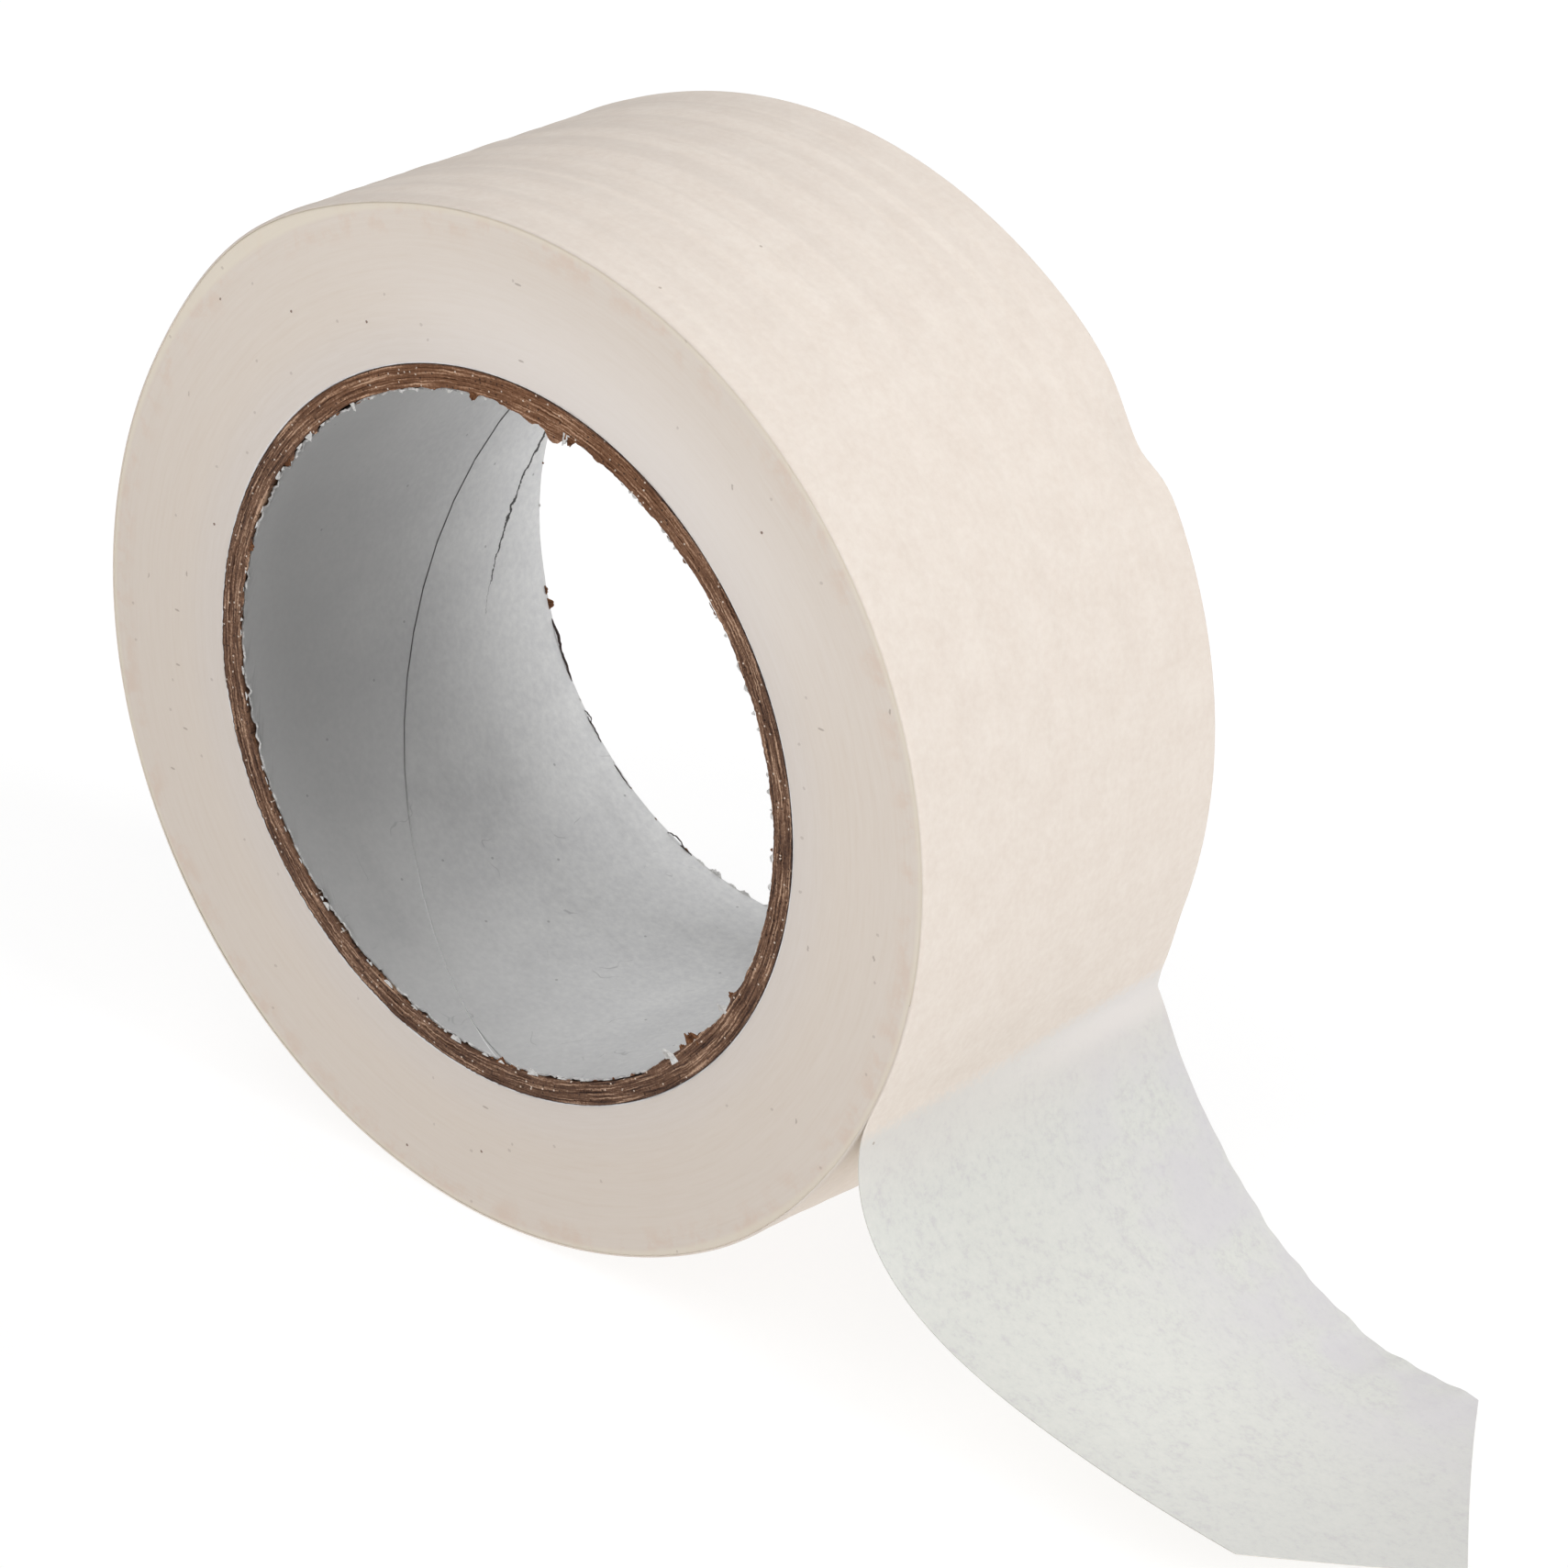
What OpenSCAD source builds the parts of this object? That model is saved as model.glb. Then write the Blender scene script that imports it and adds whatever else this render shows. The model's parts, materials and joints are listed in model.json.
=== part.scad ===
// Masking tape roll: crepe paper tape wound on a laminated paper core,
// standing on its rim, with a loose tail peeled off the outer turn.
// Millimetres. The origin is the middle of the bore, Y is the roll's axis and
// Z is up, so the roll stands on the plane z = -roll_diameter / 2.

/* [Roll] */
// Outside diameter of the roll
roll_diameter = 116.5; // [100:0.5:150]
// Width of the tape, and length of the core
tape_width = 48; // [18:1:72]
// Thickness of the crepe paper backing
backing_thickness = 0.09; // [0.06:0.01:0.2]
// Thickness of the adhesive coat under the backing
adhesive_thickness = 0.04; // [0.02:0.01:0.1]

/* [Core] */
// Bore of the core, a 3 inch spindle size
core_bore = 76.2; // [70:0.1:80]
// Thickness of one kraft ply of the core wall
ply_thickness = 0.5; // [0.3:0.05:1]
// Thickness of the white liner ply that faces the bore
liner_thickness = 0.3; // [0.1:0.05:0.6]

/* [Tail] */
// Angle below the horizontal where the tail leaves the roll
peel_angle = 26; // [20:1:40]
// Distance the tip of the tail reaches out in front of the peel line
tail_reach = 67.4; // [55:0.1:90]
// Height of the near edge of the tail above the floor at its tip
near_edge_height = 6.5; // [2:0.5:12]
// Distance of the point of the cut end from the near edge
point_offset = 17; // [6:1:24]
// Share of the tail that the near corner of the cut end reaches
near_corner = 0.86; // [0.7:0.01:0.95]
// Share of the tail that the far corner of the cut end reaches
far_corner = 0.83; // [0.7:0.01:0.95]

/* [Hidden] */
$fn = 180;
ply_count = 5;
tape_thickness = backing_thickness + adhesive_thickness;
// Running clearance that lets the outer turn slide round the winding.
turn_clearance = 0.03;
// Gap between the outer turn and the hinge line at the root of the tail.
root_gap = 0.3;
// Extra length that makes a cut run clear past both side faces.
past = 1;

bore_r = core_bore / 2;
liner_r = bore_r + liner_thickness;
core_r = liner_r + ply_count * ply_thickness;
roll_r = roll_diameter / 2;
backing_r = roll_r - backing_thickness;
adhesive_r = backing_r - adhesive_thickness;
winding_r = adhesive_r - turn_clearance;
half_width = tape_width / 2;

white_paper = [0.86, 0.85, 0.82];
kraft_paper = [0.52, 0.37, 0.25];
wound_tape = [0.86, 0.80, 0.73];
crepe_backing = [0.93, 0.89, 0.84];
clear_adhesive = [0.88, 0.85, 0.70];

// Control points of the two edges of the tail, as [x, z]. Both edges start at
// the peel line. The near edge stays up and the far edge lies on the floor.
root_r = roll_r + root_gap;
root = [root_r * cos(peel_angle), -root_r * sin(peel_angle)];
near_edge = [
    root,
    root + [-2, -21],
    [root[0] + 0.39 * tail_reach, near_edge_height + 1 - roll_r],
    [root[0] + tail_reach, near_edge_height - roll_r]
];
far_edge = [
    root,
    root + [8.5, -10.5],
    [root[0] + 0.31 * tail_reach, -7.5 - roll_r],
    [root[0] + tail_reach, 1.9 - roll_r]
];

// Mesh of the tail: steps along it, and columns on each side of the point.
tail_steps = 34;
near_columns = 4;
far_columns = 7;
columns = near_columns + far_columns;
point_share = point_offset / tape_width;

// A plain ring round the roll's axis, as wide as the tape.
module ring(outer_r, inner_r) {
    rotate([90, 0, 0])
    difference() {
        cylinder(r = outer_r, h = tape_width, center = true);
        cylinder(r = inner_r, h = tape_width + 2 * past, center = true);
    }
}

// Smooth curve through four control points, and its direction.
function curve(p, t) =
    pow(1 - t, 3) * p[0]
    + 3 * pow(1 - t, 2) * t * p[1]
    + 3 * (1 - t) * t * t * p[2]
    + pow(t, 3) * p[3];

function curve_direction(p, t) =
    pow(1 - t, 2) * (p[1] - p[0])
    + 2 * (1 - t) * t * (p[2] - p[1])
    + t * t * (p[3] - p[2]);

// Share of the way from the near edge to the far edge, for each column.
function column_share(c) =
    c <= near_columns
    ? point_share * c / near_columns
    : point_share + (1 - point_share) * (c - near_columns) / far_columns;

// Where the cut end falls: two straight cuts that meet in a point.
function cut_end(s) =
    s <= point_share
    ? near_corner + (1 - near_corner) * s / point_share
    : 1 + (far_corner - 1) * (s - point_share) / (1 - point_share);

// A point of the tail, at a depth below its top face.
function tail_point(s, t, depth) =
    let (
        near = curve(near_edge, t),
        far = curve(far_edge, t),
        along = (1 - s) * curve_direction(near_edge, t)
            + s * curve_direction(far_edge, t),
        across = far - near,
        up = [
            -along[1] * tape_width,
            along[1] * across[0] - along[0] * across[1],
            along[0] * tape_width
        ],
        top = (1 - s) * near + s * far
    )
    [top[0], s * tape_width - half_width, top[1]] - depth * up / norm(up);

// One layer of the tail, between two depths below its top face.
module tail_layer(top_depth, bottom_depth) {
    row = columns + 1;
    side = row * (tail_steps + 1);
    points = [
        for (depth = [top_depth, bottom_depth])
        for (i = [0:tail_steps])
        for (c = [0:columns])
        let (s = column_share(c))
        tail_point(s, cut_end(s) * i / tail_steps, depth)
    ];
    top_faces = [
        for (i = [0:tail_steps - 1])
        for (c = [0:columns - 1])
        let (a = i * row + c)
        each [[a, a + 1, a + row + 1], [a, a + row + 1, a + row]]
    ];
    bottom_faces = [
        for (f = top_faces)
        [f[2] + side, f[1] + side, f[0] + side]
    ];
    edge = [
        for (c = [0:columns]) c,
        for (i = [1:tail_steps]) i * row + columns,
        for (c = [1:columns]) tail_steps * row + columns - c,
        for (i = [1:tail_steps - 1]) (tail_steps - i) * row
    ];
    edge_faces = [
        for (k = [0:len(edge) - 1])
        let (a = edge[k], b = edge[(k + 1) % len(edge)])
        each [[a, a + side, b + side], [a, b + side, b]]
    ];
    polyhedron(points, concat(top_faces, bottom_faces, edge_faces));
}

// White paper ply that lines the bore.
module core_liner() {
    color(white_paper)
    ring(liner_r, bore_r);
}

// One kraft ply of the core wall, counted outward from the liner.
module core_ply(i) {
    inner_r = liner_r + (i - 1) * ply_thickness;
    color(kraft_paper)
    ring(inner_r + ply_thickness, inner_r);
}

// The wound turns of tape under the outer turn.
module winding() {
    color(wound_tape)
    ring(winding_r, core_r);
}

// Adhesive coat of the outer turn.
module outer_turn_adhesive() {
    color(clear_adhesive)
    ring(backing_r, adhesive_r);
}

// Crepe paper of the outer turn.
module outer_turn_backing() {
    color(crepe_backing)
    ring(roll_r, backing_r);
}

// Adhesive coat of the loose tail, on its lower face.
module tail_adhesive() {
    color(clear_adhesive)
    tail_layer(backing_thickness, tape_thickness);
}

// Crepe paper of the loose tail.
module tail_backing() {
    color(crepe_backing)
    tail_layer(0, backing_thickness);
}

core_liner();
for (i = [1:ply_count]) {
    core_ply(i);
}
winding();
outer_turn_adhesive();
outer_turn_backing();
tail_adhesive();
tail_backing();
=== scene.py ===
"""Masking tape roll standing on its rim, with a loose tail of tape curling forward onto the floor.

All lengths are in metres and in the frame of the CAD model: the origin is the middle of the bore,
Y is the roll's axis and Z is up. MM turns the small sizes below from millimetres into metres.
"""

import json
import math

import bpy
import numpy as np
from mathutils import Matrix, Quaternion, Vector


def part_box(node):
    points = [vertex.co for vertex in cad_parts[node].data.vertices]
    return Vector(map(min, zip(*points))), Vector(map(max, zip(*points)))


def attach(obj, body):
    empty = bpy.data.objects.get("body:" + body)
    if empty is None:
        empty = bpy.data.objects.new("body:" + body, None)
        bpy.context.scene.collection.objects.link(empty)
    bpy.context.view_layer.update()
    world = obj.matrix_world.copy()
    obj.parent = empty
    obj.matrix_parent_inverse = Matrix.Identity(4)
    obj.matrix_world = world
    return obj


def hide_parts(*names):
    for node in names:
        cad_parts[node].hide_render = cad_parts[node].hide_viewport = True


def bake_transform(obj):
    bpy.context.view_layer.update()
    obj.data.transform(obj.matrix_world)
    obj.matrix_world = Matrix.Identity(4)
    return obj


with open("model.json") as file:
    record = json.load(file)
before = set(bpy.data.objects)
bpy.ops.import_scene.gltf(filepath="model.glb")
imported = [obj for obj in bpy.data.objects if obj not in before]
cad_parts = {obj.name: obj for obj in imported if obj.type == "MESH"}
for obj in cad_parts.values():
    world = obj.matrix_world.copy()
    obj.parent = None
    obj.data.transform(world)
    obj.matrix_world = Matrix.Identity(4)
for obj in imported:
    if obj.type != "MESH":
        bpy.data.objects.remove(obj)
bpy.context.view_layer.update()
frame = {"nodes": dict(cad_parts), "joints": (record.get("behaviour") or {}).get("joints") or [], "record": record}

MM = 0.001
record = frame["record"]
joints = {joint["name"]: joint for joint in frame["joints"]}
mounts = {mount["name"]: mount for mount in record["mounts"]}

# ---------------------------------------------------------------- sizes, from the frame

ROLL_R = -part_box("outer_turn_backing")[0][0]
HALF_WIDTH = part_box("winding")[1][1]
WIDTH = 2 * HALF_WIDTH
BORE_R = mounts["core_bore"]["dims"]["r_mm"] * MM
LINER_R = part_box("core_liner")[1][2]
PLIES = [node for node in frame["nodes"] if node.startswith("core_ply_")]
PLY_R = {ply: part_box(ply)[1][2] for ply in PLIES}
CORE_R = max(PLY_R.values())
FLOOR_Z = -ROLL_R
ROOT = Vector(joints["tail_lift"]["pos_m"])
PEEL_ANGLE = math.atan2(ROOT.z, ROOT.x)
TAIL_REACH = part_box("tail_backing")[1][0] - ROOT.x

BACKING = 0.09 * MM
ADHESIVE = 0.04 * MM
TAPE = BACKING + ADHESIVE

rng = np.random.default_rng(20)


# ---------------------------------------------------------------- small tools

def degrees_from(angle, centre):
    """How many degrees an angle in radians lies past a place given in degrees, from -180 to 180."""
    return (np.degrees(angle) - centre + 180) % 360 - 180


def smooth(low, high, x):
    """0 below low, 1 above high, and a smooth step between them."""
    t = np.clip((x - low) / (high - low), 0, 1)
    return t * t * (3 - 2 * t)


def around(angle, knots):
    """Smooth noise from -1 to 1 that closes on itself round the roll, with that many knots in a turn."""
    values = rng.uniform(-1, 1, knots)
    place = (np.asarray(angle) / math.tau % 1) * knots
    low = np.floor(place).astype(int) % knots
    share = smooth(0, 1, place - np.floor(place))
    return values[low] * (1 - share) + values[(low + 1) % knots] * share


def rough_edge(angle, coarse, fine):
    """A torn outline round the roll, from 0 to about 1: long bites with short fibres on them."""
    bites = np.clip(around(angle, coarse), 0, 1)
    nibbles = 0.5 + 0.5 * around(angle, fine)
    fibres = 0.5 + 0.5 * around(angle, 3 * fine)
    return 0.5 * bites + 0.3 * nibbles + 0.2 * fibres


def polar(radius, angle, y):
    """Points at those radii, angles and places along the axis, as one array of x, y, z."""
    radius, angle, y = np.broadcast_arrays(radius, angle, y)
    return np.stack([radius * np.cos(angle), y, radius * np.sin(angle)], axis=-1)


def grid_faces(rows, columns, wrap_rows, wrap_columns, start=0):
    """Quads of a grid of points numbered row by row."""
    i = np.arange(rows if wrap_rows else rows - 1)[:, None]
    j = np.arange(columns if wrap_columns else columns - 1)[None, :]
    next_i = (i + 1) % rows
    next_j = (j + 1) % columns
    corners = [i * columns + j, i * columns + next_j, next_i * columns + next_j, next_i * columns + j]
    return start + np.stack(np.broadcast_arrays(*corners), axis=-1).reshape(-1, 4)


def add_mesh(name, points, faces, material, uv=None):
    """A smooth-shaded mesh object with one material, and a UV map where one is given per point."""
    mesh = bpy.data.meshes.new(name)
    mesh.from_pydata(points.reshape(-1, 3).tolist(), [], faces.tolist())
    mesh.validate()
    if uv is not None:
        layer = mesh.uv_layers.new(name="length_and_width")
        loop_points = np.zeros(len(mesh.loops), np.int32)
        mesh.loops.foreach_get("vertex_index", loop_points)
        layer.data.foreach_set("uv", uv.reshape(-1, 2)[loop_points].astype(np.float32).ravel())
    mesh.polygons.foreach_set("use_smooth", np.ones(len(mesh.polygons), bool))
    mesh.materials.append(material)
    obj = bpy.data.objects.new(name, mesh)
    bpy.context.scene.collection.objects.link(obj)
    return obj


def sharpen(obj, degrees):
    """Keeps edges steeper than this sharp in the smooth shading."""
    obj.data.set_sharp_from_angle(angle=math.radians(degrees))


def turned_ring(name, angles, profile, material, shape):
    """A closed ring: profile is a closed outline of (radius, y), and shape moves its points."""
    radius, y = np.array(profile).T
    radius, y = shape(angles[:, None], radius[None, :], y[None, :])
    points = polar(radius, angles[:, None], y)
    faces = grid_faces(points.shape[0], points.shape[1], True, True)
    return add_mesh(name, points, facing_out(points.reshape(-1, 3), faces), material)


def facing_out(points, faces):
    """Turns the faces of a closed mesh round if they enclose a negative volume."""
    a, b, c, d = (points[faces[:, k]] for k in range(4))
    volume = (np.cross(a, b) * c).sum() + (np.cross(a, c) * d).sum()
    return faces if volume > 0 else faces[:, ::-1]


def sheet_mesh(top, bottom):
    """Points and faces of a thin closed sheet between two equal grids of points."""
    rows, columns = top.shape[:2]
    half = rows * columns
    upper = grid_faces(rows, columns, False, False)
    lower = grid_faces(rows, columns, False, False, half)[:, ::-1]
    index = np.arange(half).reshape(rows, columns)
    border = np.concatenate([index[0, :-1], index[:-1, -1], index[-1, :0:-1], index[:0:-1, 0]])
    following = np.roll(border, -1)
    rim = np.stack([border, border + half, following + half, following], axis=-1)
    points = np.concatenate([top.reshape(-1, 3), bottom.reshape(-1, 3)])
    return points, facing_out(points, np.concatenate([upper, lower, rim]))


def closed_sheet(name, top, bottom, uv, material):
    """A thin closed sheet between two equal grids, as one object with the same UV on both sides."""
    points, faces = sheet_mesh(top, bottom)
    both = np.concatenate([uv.reshape(-1, 2), uv.reshape(-1, 2)])
    return add_mesh(name, points, faces, material, both)


# ---------------------------------------------------------------- shader tools

TO_MM = (1 / MM, 1 / MM, 1 / MM)


class Shader:
    """A material made of nodes. Each method adds what it needs and returns an output socket.

    Places and sizes inside a material are in millimetres.
    """

    def __init__(self, name, roughness, **constants):
        self.material = bpy.data.materials.new(name)
        self.material.use_nodes = True
        self.tree = self.material.node_tree
        self.bsdf = self.tree.nodes["Principled BSDF"]
        self.bsdf.inputs["Roughness"].default_value = roughness
        for socket, value in constants.items():
            self.bsdf.inputs[socket.replace("_", " ")].default_value = value

    def put(self, socket, value):
        """Links an input to another node's output, or sets it to a constant."""
        if isinstance(value, bpy.types.NodeSocket):
            self.tree.links.new(value, socket)
        else:
            socket.default_value = value

    def node(self, kind, inputs=(), **settings):
        """One node, with its inputs given as (name or number, value) and its settings by name."""
        node = self.tree.nodes.new(kind)
        for key, value in settings.items():
            setattr(node, key, value)
        for socket, value in inputs:
            self.put(node.inputs[socket], value)
        return node

    def math(self, operation, *values, clamp=False):
        inputs = list(enumerate(values))
        return self.node("ShaderNodeMath", inputs, operation=operation, use_clamp=clamp).outputs[0]

    def plus(self, first, second):
        return self.math("ADD", first, second)

    def minus(self, first, second):
        return self.math("SUBTRACT", first, second)

    def times(self, first, second):
        return self.math("MULTIPLY", first, second)

    def weighted(self, *parts):
        """The sum of some values, each given with its weight."""
        products = [self.times(value, weight) for value, weight in parts]
        total = products[0]
        for product in products[1:]:
            total = self.plus(total, product)
        return total

    def vector(self, operation, *values):
        node = self.node("ShaderNodeVectorMath", list(enumerate(values)), operation=operation)
        return node.outputs["Value" if operation == "LENGTH" else "Vector"]

    def scale(self, vector, factors):
        return self.vector("MULTIPLY", vector, factors)

    def object_mm(self):
        return self.scale(self.node("ShaderNodeTexCoord").outputs["Object"], TO_MM)

    def uv_mm(self):
        return self.scale(self.node("ShaderNodeTexCoord").outputs["UV"], TO_MM)

    def polar_mm(self):
        """Radius, and a unit vector round the roll that has no seam."""
        x, _, z = self.split(self.object_mm())
        flat = self.join(x, 0.0, z)
        return self.vector("LENGTH", flat), self.vector("NORMALIZE", flat)

    def split(self, vector):
        return self.node("ShaderNodeSeparateXYZ", [(0, vector)]).outputs

    def join(self, x, y, z):
        return self.node("ShaderNodeCombineXYZ", [(0, x), (1, y), (2, z)]).outputs[0]

    def noise(self, vector, scale=1.0, detail=2.0, roughness=0.5, distortion=0.0):
        inputs = [("Vector", vector), ("Scale", scale), ("Detail", detail)]
        inputs += [("Roughness", roughness), ("Distortion", distortion)]
        return self.node("ShaderNodeTexNoise", inputs).outputs["Fac"]

    def dots(self, place, spacing, radius, share):
        """Round dots of that radius in a share of the cells of a plane, as a factor from 0 to 1."""
        node = self.node("ShaderNodeTexVoronoi", voronoi_dimensions="2D")
        self.put(node.inputs["Vector"], place)
        node.inputs["Scale"].default_value = 1 / spacing
        size = radius / spacing
        inside = self.span(node.outputs["Distance"], 0.6 * size, size, 1.0, 0.0)
        chance = self.split(node.outputs["Color"])[0]
        return self.times(inside, self.math("LESS_THAN", chance, share))

    def span(self, value, low, high, out_low=0.0, out_high=1.0):
        """A smooth step from out_low, where the value is low, to out_high, where it is high."""
        inputs = [("Value", value), ("From Min", low), ("From Max", high)]
        inputs += [("To Min", out_low), ("To Max", out_high)]
        node = self.node("ShaderNodeMapRange", inputs, interpolation_type="SMOOTHSTEP")
        return node.outputs["Result"]

    def ramp(self, factor, stops):
        node = self.node("ShaderNodeValToRGB", [("Fac", factor)])
        elements = node.color_ramp.elements
        while len(elements) < len(stops):
            elements.new(0.5)
        for element, (position, colour) in zip(elements, stops):
            element.position = position
            element.color = (*colour, 1)
        return node.outputs["Color"]

    def mix(self, factor, first, second):
        node = self.node("ShaderNodeMix", data_type="RGBA")
        self.put(node.inputs["Factor"], factor)
        for socket, value in (("A", first), ("B", second)):
            colour = value if isinstance(value, bpy.types.NodeSocket) else (*value, 1)
            self.put([s for s in node.inputs if s.name == socket and s.type == "RGBA"][0], colour)
        return [s for s in node.outputs if s.type == "RGBA"][0]

    def tint(self, colour, towards, where, strength):
        """The colour, moved towards another by a factor from 0 to 1 and a strength."""
        return self.mix(self.times(where, strength), colour, towards)

    def finish(self, colour, height=None, distance=0.1 * MM, strength=1.0, roughness=None):
        """Puts the colour, the bumps and the roughness on the shader, and returns the material."""
        self.put(self.bsdf.inputs["Base Color"], colour)
        if roughness is not None:
            self.put(self.bsdf.inputs["Roughness"], roughness)
        if height is not None:
            inputs = [("Height", height), ("Distance", distance), ("Strength", strength)]
            normal = self.node("ShaderNodeBump", inputs).outputs["Normal"]
            self.put(self.bsdf.inputs["Normal"], normal)
        return self.material


def sRGB(red, green, blue):
    """A colour given as 0 to 255 screen values, turned into the linear values that shaders use.

    No colour here is dark enough for the straight part of the sRGB curve, so only its curved part is used.
    """
    return tuple(((value / 255 + 0.055) / 1.055) ** 2.4 for value in (red, green, blue))


# ---------------------------------------------------------------- the crepe paper

CREAM = sRGB(236, 226, 216)
CREAM_SHADE = sRGB(229, 217, 206)
# Painted shade for the grooves between the long ridges.
CREAM_GROOVE_SHADE = sRGB(208, 197, 188)
CREPE_SPECK = sRGB(140, 118, 96)
TAIL_LIGHT = sRGB(222, 222, 217)
TAIL_GREY = sRGB(217, 218, 213)
TAIL_SHADE = sRGB(206, 204, 204)
TAIL_FAR = sRGB(212, 208, 214)
TAIL_ROOT = sRGB(223, 217, 212)
TAIL_CREST_HIGHLIGHT = sRGB(236, 231, 227)


def crepe_on_roll(s, place, along, pulp):
    """Cream paper on the roll, with long streaks of painted shade for the grooves between ridges, strongest over
    the top, where the turns lie tight.
    """
    clouds = s.noise(place, scale=0.22, detail=3.0)
    tone = s.weighted((pulp, 0.6), (clouds, 0.4))
    cream = s.ramp(tone, [(0.36, CREAM_SHADE), (0.62, CREAM)])
    streaks = s.noise(s.scale(place, (0.008, 0.3, 1)), roughness=0.55, distortion=0.3)
    past_the_front = s.span(along, -55.0, -125.0)
    before_the_back = s.span(along, -260.0, -170.0, 0.35, 1.0)
    # Painted shade: the streaks darken the paper in the grooves between the long ridges.
    tight = s.times(s.times(past_the_front, before_the_back), s.span(streaks, 0.38, 0.62))
    return s.tint(cream, CREAM_GROOVE_SHADE, tight, 0.28)


def crepe_loose(s, place, along, across, fibres):
    """The loose single layer: grey, cloudy with pulp, a little violet on the far side, warm at the root."""
    drift = s.noise(place, scale=0.09, detail=3.0, roughness=0.6)
    flocks = s.noise(place, scale=0.45, detail=5.0, roughness=0.65)
    cloudy = s.weighted((fibres, 0.5), (drift, 0.15), (flocks, 0.35))
    grey = s.ramp(cloudy, [(0.38, TAIL_SHADE), (0.49, TAIL_GREY), (0.61, TAIL_LIGHT)])
    far_side = s.times(s.span(across, -4.0, 20.0), s.span(drift, 0.35, 0.6))
    grey = s.tint(grey, TAIL_FAR, far_side, 0.6)
    grey = s.tint(grey, TAIL_ROOT, s.span(along, 12.0, 1.0), 0.55)
    # Painted highlight on the far half of the crest at the peel line, where the paper bends over.
    crest = s.times(s.span(along, 5.0, 2.0), s.span(across, -12.0, 20.0))
    grey = s.tint(grey, TAIL_CREST_HIGHLIGHT, crest, 0.6)
    return s.tint(grey, TAIL_SHADE, s.span(along, 35.0, 85.0), 0.3)


def crepe_paper():
    """Crepe paper: cream on the roll, grey where it is loose, with fine wrinkles and a little dust.

    The UV map holds the distance along the tape from the peel line, and the place across it.
    """
    s = Shader("crepe_paper", 0.82, Specular_IOR_Level=0.3)
    place = s.uv_mm()
    along, across, _ = s.split(place)
    wrinkles = s.noise(s.scale(place, (1 / 0.5, 1 / 2.6, 1)), detail=4.0, roughness=0.6, distortion=0.4)
    pulp = s.noise(place, scale=1.1, detail=8.0, roughness=0.62)
    fibres = s.noise(place, scale=1.3, detail=9.0, roughness=0.72, distortion=0.1)
    on_roll = crepe_on_roll(s, place, along, pulp)
    loose = crepe_loose(s, place, along, across, fibres)
    slant = s.span(across, -8.0, 26.0, 0.0, 2.6)
    wander = s.plus(slant, s.times(s.minus(fibres, 0.5), 5.0))
    past_peel_line = s.span(s.plus(along, wander), -0.9, 1.7)
    colour = s.mix(past_peel_line, on_roll, loose)
    specks = s.dots(place, spacing=17.0, radius=0.22, share=0.1)
    colour = s.tint(colour, CREPE_SPECK, specks, 0.5)
    height = s.weighted((wrinkles, 0.25), (pulp, 0.35))
    return s.finish(colour, height, distance=0.16 * MM, strength=0.5)


# ---------------------------------------------------------------- the adhesive

ADHESIVE_SHADE = sRGB(219, 210, 192)
ADHESIVE_LIGHT = sRGB(228, 221, 207)


def tacky_coat():
    """Clear rubber adhesive over the paper: a little yellow, shiny, with faint pulling marks."""
    s = Shader("tacky_coat", 0.38, Specular_IOR_Level=0.5, Coat_Weight=0.15, Coat_Roughness=0.3)
    place = s.uv_mm()
    marks = s.noise(s.scale(place, (1 / 0.8, 1 / 5.0, 1)), detail=4.0, roughness=0.6)
    blotches = s.noise(place, scale=0.35, detail=6.0, roughness=0.65)
    colour = s.ramp(blotches, [(0.35, ADHESIVE_SHADE), (0.65, ADHESIVE_LIGHT)])
    shine = s.span(marks, 0.3, 0.7, 0.3, 0.5)
    return s.finish(colour, marks, distance=0.05 * MM, strength=0.4, roughness=shine)


# ---------------------------------------------------------------- the slit side of the winding

CORE_MM = CORE_R / MM
ROLL_MM = ROLL_R / MM

EDGE_OUTER = ((0.3, sRGB(234, 220, 206)), (0.5, sRGB(238, 226, 214)), (0.7, sRGB(241, 230, 219)))
EDGE_INNER = ((0.3, sRGB(231, 220, 210)), (0.7, sRGB(239, 230, 223)))
EDGE_BLUSH = sRGB(232, 204, 184)
EDGE_RIM_HIGHLIGHT = sRGB(246, 236, 218)
EDGE_LIP_AND_HIGHLIGHT = sRGB(250, 250, 252)
EDGE_LOW_SHADE = sRGB(120, 104, 90)
EDGE_SHEEN = sRGB(252, 245, 240)
EDGE_DUST = sRGB(112, 78, 58)


def wound_edge():
    """The slit side of the winding: cream, greyer by the core, with faint rings and small dark specks."""
    s = Shader("wound_edge", 0.6, Specular_IOR_Level=0.35)
    radius, direction = s.polar_mm()
    broad = s.noise(s.join(s.times(radius, 0.8), 0.0, 0.0), detail=5.0, roughness=0.7)
    swept = s.vector("ADD", s.scale(direction, (9, 9, 9)), s.join(0.0, s.times(radius, 2.6), 0.0))
    rings = s.noise(swept, detail=6.0, roughness=0.68)
    grain = s.noise(s.object_mm(), scale=2.2, detail=4.0, roughness=0.6)
    tone = s.weighted((rings, 0.6), (broad, 0.4))
    from_core = s.span(radius, CORE_MM + 0.3, CORE_MM + 7.1)
    colour = s.mix(from_core, s.ramp(tone, EDGE_INNER), s.ramp(tone, EDGE_OUTER))
    colour = add_rim_tones(s, colour, radius)
    colour = add_painted_face_light(s, colour, radius)
    colour = add_dust(s, colour, grain)
    height = s.plus(rings, s.times(grain, 0.35))
    shine = s.span(rings, 0.3, 0.7, 0.5, 0.7)
    return s.finish(colour, height, distance=0.045 * MM, strength=0.5, roughness=shine)


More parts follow.
